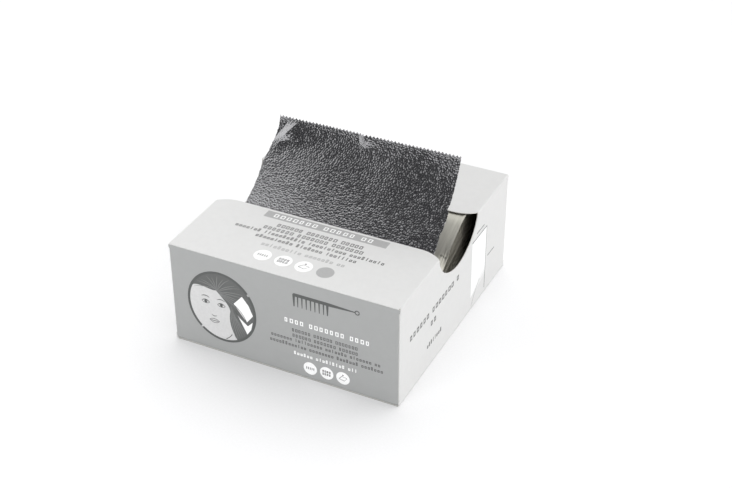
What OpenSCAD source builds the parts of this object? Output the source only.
// Folding-carton dispenser for interfolded, pre-cut aluminium foil sheets.
// The carton is a glued sleeve whose axis runs front to back. A strip has been
// torn out across the top and down into both sides, and one sheet stands in it.
// Millimetres. Origin: centre of the base. +X right, +Y back, +Z up.

/* [Carton] */
// Outside width, side to side
box_w = 140; // [136:1:150]
// Outside depth, front to back
box_d = 150; // [148:1:160]
// Outside height
box_h = 64.5; // [64:0.5:70]
// Thickness of the board
board = 0.5; // [0.4:0.05:0.6]
// Outside radius of the four long creases of the sleeve
crease_r = 0.8; // [0.7:0.1:1.2]

/* [Opening] */
// Front edge of the opening, measured back from the centre
slot_front = -20; // [-24:0.5:-18]
// Back edge of the opening, measured back from the centre
slot_back = 23.1; // [20:0.1:26]
// Radius with which the opening widens towards the side creases
flare_r = 20; // [19:0.5:24]
// Length of that widening, measured in from each side face
flare_run = 13.5; // [12:0.5:15]
// Depth of the notch in each side panel
notch_depth = 19.6; // [17:0.1:22]
// Fullness of the notch outline, where 2 is an ellipse
notch_power = 1.85; // [1.7:0.05:2.1]

/* [End closures] */
// How far each closure stays back from the side faces
closure_inset = 0.7; // [0.5:0.1:1]
// Length of the tongue that tucks in over the bottom panel
tongue_l = 11; // [9:0.5:12]
// Upward slope of the tucked tongue
tongue_slope = 9; // [9:0.5:10]
// Length of each dust flap
dust_l = 42; // [36:1:46]
// Taper of the upper edge of each dust flap
dust_taper = 30; // [29:1:34]
// Widest opening angle of a closure that the crease is relieved for
closure_open = 120; // [100:5:125]

/* [Foil] */
// Width of a sheet, side to side
sheet_w = 120; // [116:1:122]
// Length of a sheet laid flat
sheet_l = 270; // [262:1:272]
// Distance of the stack from the middle of the carton, to the right
stack_shift = 3.5; // [2:0.5:4]
// Thickness of one modelled sheet, which stands for a dozen real ones
leaf_t = 0.175; // [0.15:0.005:0.2]
// Number of modelled sheets in the stack under the next one
leaf_count = 23; // [19:2:23]
// Height of the stack in front of the opening
stack_front_z = 40.6; // [38:0.1:42]
// Height of the stack behind the opening
stack_back_z = 62.7; // [61:0.1:62.8]
// Thickness of the sheet that stands in the opening
popped_t = 0.15; // [0.1:0.01:0.2]
// Pitch of the zigzag cut
tooth_pitch = 2.3; // [2.2:0.05:2.4]
// Height of the zigzag cut
tooth_h = 1.1; // [0.8:0.1:1.3]

/* [Hidden] */
$fn = 64;

white_board = [0.93, 0.93, 0.92];
kraft_inside = [0.86, 0.86, 0.84];
grey_print = [0.66, 0.67, 0.67];
glue_tint = [0.86, 0.82, 0.68];
foil_bright = [0.72, 0.71, 0.67];
foil_dark = [0.33, 0.33, 0.34];

gap = 0.05;                              // slack between two boards that lie together
half_w = box_w / 2;
half_d = box_d / 2;
flat_w = half_w - crease_r;              // half-width of the flat part of top and bottom
inner_r = crease_r - board;
end_plane = half_d - board;              // inner face of a closure
side_end = end_plane - board - gap;      // where a side panel ends and its dust flaps begin
slot_mid = (slot_front + slot_back) / 2;
// How much wider the opening is at the side creases, along each of its edges
flare = flare_r - sqrt(flare_r * flare_r - flare_run * flare_run);
notch_half = (slot_back - slot_front) / 2 + flare;

// ---------- sleeve ----------

module rounded_rect(w, h, r) {
    translate([-w / 2 + r, 0]) square([w - 2 * r, h]);
    translate([-w / 2, r]) square([w, h - 2 * r]);
    for (x = [-w / 2 + r, w / 2 - r], z = [r, h - r]) translate([x, z]) circle(r);
}

// A shape drawn in X and Z, extruded along Y from y0 to y1
module along_y(y0, y1) {
    translate([0, y1, 0]) rotate([90, 0, 0]) linear_extrude(y1 - y0) children();
}

// A shape drawn in Y and Z, extruded along X from x0 to x1
module along_x(x0, x1) {
    translate([x0, 0, 0]) rotate([90, 0, 90]) linear_extrude(x1 - x0) children();
}

// Cross-section of the sleeve's wall
module sleeve_section() {
    difference() {
        rounded_rect(box_w, box_h, crease_r);
        translate([0, board]) rounded_rect(box_w - 2 * board, box_h - 2 * board, inner_r);
    }
}

// Curve of the opening's edge from where it starts to widen to the side face
function flare_arc(steps = 10) = [
    for (i = [0 : steps])
        let (run = flare_run * i / steps)
            [half_w - flare_run + run, flare_r - sqrt(flare_r * flare_r - run * run)]
];

// Opening as seen from above, open-ended past both side faces
module opening_plan() {
    arc = flare_arc();
    side = [for (p = arc) [p[0], slot_front - p[1]]];
    back = [for (i = [len(arc) - 1 : -1 : 0]) [arc[i][0], slot_back + arc[i][1]]];
    right_half = concat(side, [[half_w + 2, slot_front - flare], [half_w + 2, slot_back + flare]], back);
    polygon(right_half);
    mirror([1, 0]) polygon(right_half);
    translate([-half_w + flare_run, slot_front]) square([box_w - 2 * flare_run, slot_back - slot_front]);
}

// Notch in a side panel, drawn in Y and Z
module notch_outline(steps = 40) {
    lower = [
        for (i = [0 : steps])
            let (u = -cos(180 * i / steps))
                [slot_mid + notch_half * u,
                 box_h - notch_depth * pow(1 - pow(abs(u), notch_power), 1 / notch_power)]
    ];
    polygon(concat(lower, [[slot_mid + notch_half, box_h + 2], [slot_mid - notch_half, box_h + 2]]));
}

module top_sheet() {
    difference() {
        translate([-flat_w, -end_plane, box_h - board]) cube([2 * flat_w, 2 * end_plane, board]);
        translate([0, 0, box_h - 2]) linear_extrude(4) opening_plan();
    }
}

module top_front_panel() {
    color(white_board) intersection() {
        top_sheet();
        translate([-half_w, -half_d, 0]) cube([box_w, half_d + slot_front, box_h]);
    }
}

module top_back_panel() {
    color(white_board) intersection() {
        top_sheet();
        translate([-half_w, slot_back, 0]) cube([box_w, half_d - slot_back, box_h]);
    }
}

module right_side_panel() {
    color(white_board) difference() {
        along_y(-side_end, side_end) intersection() {
            sleeve_section();
            translate([flat_w, 0]) square([crease_r, box_h]);
        }
        along_x(half_w - 4, half_w + 4) notch_outline();
    }
}

// The left panel ends in a cut edge at the bottom: the glue flap is behind it
module left_side_panel() {
    cut_edge = 0.1;
    color(white_board) difference() {
        along_y(-side_end, side_end) union() {
            intersection() {
                sleeve_section();
                translate([-half_w, crease_r]) square([crease_r, box_h - crease_r]);
            }
            translate([-half_w, cut_edge]) square([board, crease_r]);
        }
        along_x(-half_w - 4, -half_w + 4) notch_outline();
    }
}

flap_face = half_w - board - 0.1;        // outer face of the glue flap
flap_corner = flap_face - crease_r;      // where the bottom panel turns up into it

module bottom_panel() {
    color(white_board) translate([-flap_corner, -half_d, 0]) cube([flap_corner + flat_w, box_d, board]);
}

module glue_flap() {
    flap_h = 13;
    end_back = 3;
    taper = 5;
    color(kraft_inside) intersection() {
        along_y(-side_end, side_end) union() {
            intersection() {
                difference() {
                    translate([-flap_corner, crease_r]) circle(crease_r);
                    translate([-flap_corner, crease_r]) circle(inner_r);
                }
                translate([-flap_face, 0]) square([crease_r, crease_r]);
            }
            translate([-flap_face, crease_r]) square([board, flap_h - crease_r]);
        }
        along_x(-half_w, -flap_corner) polygon([
            [-side_end + end_back, 0], [side_end - end_back, 0],
            [side_end - end_back - taper, flap_h], [-side_end + end_back + taper, flap_h]
        ]);
    }
}

module seam_glue() {
    color(glue_tint) translate([-half_w + board, -68, 2]) cube([0.1, 136, 8]);
}

// ---------- end closures, drawn for the front ----------

// Each crease is a pivot line on the inner face of the board
closure_pivot = [0, -end_plane, box_h - board];
tongue_root_z = 2 * board + 0.15;        // upper face of the tongue at its crease
dust_face = -side_end - board;           // outer face of the dust flaps

// Outline in X and Z: full width at the crease, then set back from the sides
module closure_outline() {
    shoulder = 1.5;
    step_end = 2.6;
    corner = 0.8;
    top_half = half_w - 0.1;
    half = half_w - closure_inset;
    top_z = box_h - board;
    arc = [for (a = [0 : 15 : 90]) [half - corner + corner * cos(a), tongue_root_z + corner - corner * sin(a)]];
    right = concat([[top_half, top_z], [top_half, top_z - shoulder], [half, top_z - step_end]], arc);
    left = [for (i = [len(right) - 1 : -1 : 0]) [-right[i][0], right[i][1]]];
    polygon(concat(right, left));
}

// The upper end is cut back under the crease, so that it can open past level
module end_closure() {
    relief = closure_open - 85;
    difference() {
        along_y(-half_d, -end_plane) closure_outline();
        translate(closure_pivot) rotate([relief, 0, 0]) translate([-box_w, -5, 0]) cube([2 * box_w, 10, 5]);
    }
}

module tuck_tongue() {
    half = half_w - 4;
    taper = 3;
    corner = 4;
    tip = half - taper;
    arc = [for (a = [0 : 15 : 90]) [tip - corner + corner * cos(a), tongue_l - corner + corner * sin(a)]];
    right = concat([[half, 0]], arc);
    left = [for (i = [len(right) - 1 : -1 : 0]) [-right[i][0], right[i][1]]];
    translate([0, -end_plane, tongue_root_z]) rotate([tongue_slope, 0, 0])
        translate([0, 0, -board]) linear_extrude(board) polygon(concat(right, left));
}

// Dust flap on the right, folded in behind the closure
module dust_flap() {
    root = half_w - board;
    top_z = box_h - 3.5;
    base_z = 3.8;
    base_rise = 2;
    root_rise = 1.5;
    corner_cut = 3;
    tip_top = top_z - dust_l * tan(dust_taper);
    along_y(dust_face, dust_face + board) polygon([
        [root, base_z], [root, top_z], [root - dust_l + corner_cut, tip_top + corner_cut * tan(dust_taper)],
        [root - dust_l, tip_top - corner_cut], [root - dust_l, base_z + base_rise + root_rise],
        [root - dust_l + corner_cut, base_z + base_rise]
    ]);
}

module front_closure() { color(grey_print) end_closure(); }
module front_tuck_tongue() { color(kraft_inside) tuck_tongue(); }
module front_dust_flap_right() { color(kraft_inside) dust_flap(); }
module front_dust_flap_left() { color(kraft_inside) mirror([1, 0, 0]) dust_flap(); }
module back_closure() { color(white_board) mirror([0, 1, 0]) end_closure(); }
module back_tuck_tongue() { color(kraft_inside) mirror([0, 1, 0]) tuck_tongue(); }
module back_dust_flap_right() { color(kraft_inside) mirror([0, 1, 0]) dust_flap(); }
module back_dust_flap_left() { color(kraft_inside) mirror([0, 1, 0]) mirror([1, 0, 0]) dust_flap(); }

// ---------- interfolded stack ----------

fold_y = sheet_l / 4;                    // where a sheet's fold lies
free_y = fold_y - 2;                     // where its two cut edges lie, inside other folds
layers = 2 * leaf_count + 2;
stack_base = board + gap;

// Share of the rise from the low front to the high back, at distance y
rise_y = [-20, -14, -8, 28];
rise_share = [0, 0.22, 0.33, 1];

// Height gained over the tucked tongues at both ends
function end_lift(y) = let (ramp = (abs(y) - 50) / 11) 2.4 * max(0, min(1, ramp));
// Height of the underside of layer j, counted up from 0, at distance y
function layer_z(j, y) =
    let (front = stack_front_z - stack_base, back = stack_back_z - stack_base,
         room = 1 - 0.04 * max(0, min(1, (abs(y) - 50) / 11)))
        stack_base + end_lift(y) * (y < 0 ? 1 : 1 - j / layers)
        + j / layers * (front + (back - front) * lookup(y, [for (i = [0 : 3]) [rise_y[i], rise_share[i]]]));

// One sheet folded in half: its lower half is layer a and its upper half is layer b.
// side is -1 where the fold is at the front and 1 where it is at the back.
module leaf(a, b, side) {
    stations = [-61, -50, -20, -14, -8, 28, 50, 61];
    inward = side < 0 ? stations : [for (i = [7 : -1 : 0]) stations[i]];
    turn = 0.8;
    path = concat([side * fold_y - side * turn], inward, [-side * free_y]);
    outer_fold = [[side * fold_y, layer_z(b, side * fold_y) - 0.4], [side * fold_y, layer_z(a, side * fold_y) + 0.6]];
    inner_y = side * (fold_y - leaf_t);
    inner_fold = [[inner_y, layer_z(a, inner_y) + 0.7], [inner_y, layer_z(b, inner_y) - 0.5]];
    n = len(path) - 1;
    profile = concat(
        [for (i = [n : -1 : 0]) [path[i], layer_z(b, path[i]) + leaf_t]],
        outer_fold,
        [for (i = [0 : n]) [path[i], layer_z(a, path[i])]],
        [for (i = [n : -1 : 0]) [path[i], layer_z(a, path[i]) + leaf_t]],
        inner_fold,
        [for (i = [0 : n]) [path[i], layer_z(b, path[i])]]
    );
    along_x(stack_shift - sheet_w / 2, stack_shift + sheet_w / 2) polygon(profile);
}

// Each sheet's halves enclose one half of the sheet below and one of the sheet above
function lower_layer(n) = n == 0 ? 0 : 2 * n - 1;
function upper_layer(n) = 2 * n + 2;

module foil_stack() {
    color(foil_bright) for (n = [0 : leaf_count - 1])
        leaf(lower_layer(n), upper_layer(n), n % 2 == 0 ? -1 : 1);
}

module next_sheet() {
    color(foil_bright) leaf(2 * leaf_count - 1, 2 * leaf_count + 1, 1);
}

// ---------- sheet standing in the opening ----------

// Its left and right edges, each as two Bezier curves in Y and Z: the part inside
// the carton, from its lower end to the opening, and the part outside
left_inside = [[-18.5, 48.5], [-19.6, 54], [-19.2, 60.8], [-16.3, 62.2]];
left_outside = [[-16.3, 62.2], [-4, 68], [22, 82], [26.9, 97.6]];
right_inside = [[-18.5, 48.5], [-20, 53], [-20.2, 57.3], [-17, 60.8]];
right_outside = [[-17, 60.8], [-7, 71.5], [9, 89], [14.8, 105.8]];
left_x = [-56.4, -55.4];
right_x = [63.5, 63.8];
rows_inside = 3;
rows_outside = 7;
rows = rows_inside + rows_outside;
cells = 13;
tooth_count = round(sheet_w / tooth_pitch / cells) * cells;
steps_per_cell = 2 * tooth_count / cells;

function bezier(c, t) =
    pow(1 - t, 3) * c[0] + 3 * t * pow(1 - t, 2) * c[1] + 3 * t * t * (1 - t) * c[2] + pow(t, 3) * c[3];
function edge_point(inside, outside, x, r) =
    let (t = r <= rows_inside ? r / rows_inside : (r - rows_inside) / rows_outside,
         p = bezier(r <= rows_inside ? inside : outside, t),
         s = r / rows)
        [x[0] + (x[1] - x[0]) * s, p[0], p[1]];
function sheet_point(u, r) =
    let (l = edge_point(left_inside, left_outside, left_x, r),
         g = edge_point(right_inside, right_outside, right_x, r))
        l + (g - l) * u;

// Front and back faces are a coarse grid; the last row is a fan under the teeth
module popped_sheet() {
    lean = [0, -0.73, 0.68] * popped_t;
    cols = cells + 1;
    fine = 2 * tooth_count + 1;
    up = [0, 0.2, 0.98] * tooth_h;
    grid = [for (r = [0 : rows - 1], c = [0 : cells]) sheet_point(c / cells, r)];
    teeth = [for (i = [0 : fine - 1]) sheet_point(i / (fine - 1), rows) - (i % 2 == 0 ? up : [0, 0, 0])];
    front = concat(grid, teeth);
    count = len(front);
    points = concat(front, [for (p = front) p - lean]);
    t0 = rows * cols;
    mid = steps_per_cell / 2;
    faces_front = concat(
        [for (r = [0 : rows - 2], c = [0 : cells - 1], k = [0, 1])
            let (a = r * cols + c) k == 0 ? [a, a + cols, a + 1] : [a + 1, a + cols, a + cols + 1]],
        [for (c = [0 : cells - 1], s = [0 : steps_per_cell - 1])
            let (t = t0 + c * steps_per_cell + s, a = (rows - 1) * cols + c + (s < mid ? 0 : 1)) [a, t, t + 1]],
        [for (c = [0 : cells - 1])
            let (a = (rows - 1) * cols + c) [a, t0 + c * steps_per_cell + mid, a + 1]]
    );
    // Outline of the front face, once round
    rim = concat(
        [for (c = [0 : cells]) c],
        [for (r = [1 : rows - 1]) r * cols + cells],
        [for (i = [fine - 1 : -1 : 0]) t0 + i],
        [for (r = [rows - 1 : -1 : 1]) r * cols]
    );
    faces_rim = [for (i = [0 : len(rim) - 1], k = [0, 1])
        let (a = rim[i], b = rim[(i + 1) % len(rim)])
            k == 0 ? [a, b, a + count] : [b, b + count, a + count]];
    faces_back = [for (f = faces_front) [f[0] + count, f[2] + count, f[1] + count]];
    color(foil_dark) polyhedron(points, concat(faces_front, faces_back, faces_rim));
}

top_front_panel();
top_back_panel();
right_side_panel();
left_side_panel();
bottom_panel();
glue_flap();
seam_glue();
front_closure();
front_tuck_tongue();
front_dust_flap_left();
front_dust_flap_right();
back_closure();
back_tuck_tongue();
back_dust_flap_left();
back_dust_flap_right();
foil_stack();
next_sheet();
popped_sheet();
